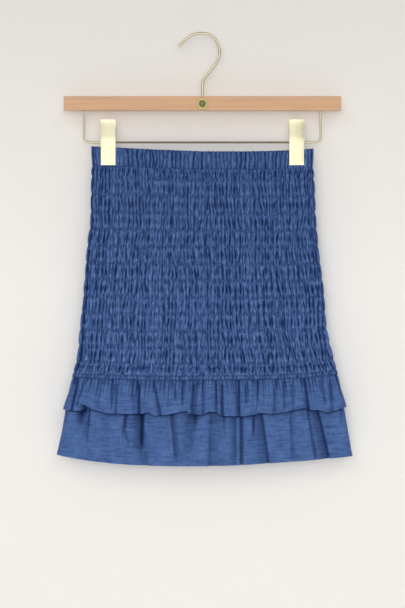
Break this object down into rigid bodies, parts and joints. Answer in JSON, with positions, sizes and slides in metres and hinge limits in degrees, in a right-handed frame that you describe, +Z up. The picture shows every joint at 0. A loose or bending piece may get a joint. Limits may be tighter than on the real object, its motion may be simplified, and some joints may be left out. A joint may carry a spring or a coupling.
{
  "type": "denim skirt on a clip hanger",
  "caption": "Short smocked denim skirt with an elastic waistband, a gathered ruffle and a longer flounce, held by spring clips on a wooden hanger.",
  "frame": {"origin": "the highest point inside the hook's crook, where the hanger rests on whatever holds it", "axes": "+Z up, -Y towards the front of the skirt, +X to the right as seen from the front"},
  "size_m": [0.4164, 0.0529, 0.6101],
  "materials": {
    "smocked_denim": "soft mid-blue chambray, matt, shirred into small puffed folds",
    "ruffle_denim": "soft mid-blue chambray, matt, slubbed plain weave",
    "beech": "clear satin lacquer, fine straight grain along the bar",
    "pale_brass": "pale polished brass plating"
  },
  "bodies": {
    "root": {"waistband_front": "smocked_denim", "waistband_back": "smocked_denim", "body_front": "smocked_denim", "body_back": "smocked_denim", "seam_band_front": "smocked_denim", "seam_band_back": "smocked_denim", "upper_ruffle_front": "ruffle_denim", "upper_ruffle_back": "ruffle_denim", "flounce_front": "ruffle_denim", "flounce_back": "ruffle_denim", "hanger_bar": "beech", "hanger_hook": "pale_brass", "hook_rosette": "pale_brass", "rosette_screw": "pale_brass", "clip_wire": "pale_brass", "clip_left_front": "pale_brass", "clip_left_back": "pale_brass", "clip_left_spring": "pale_brass", "clip_right_front": "pale_brass", "clip_right_back": "pale_brass", "clip_right_spring": "pale_brass"}
  },
  "joints": []
}
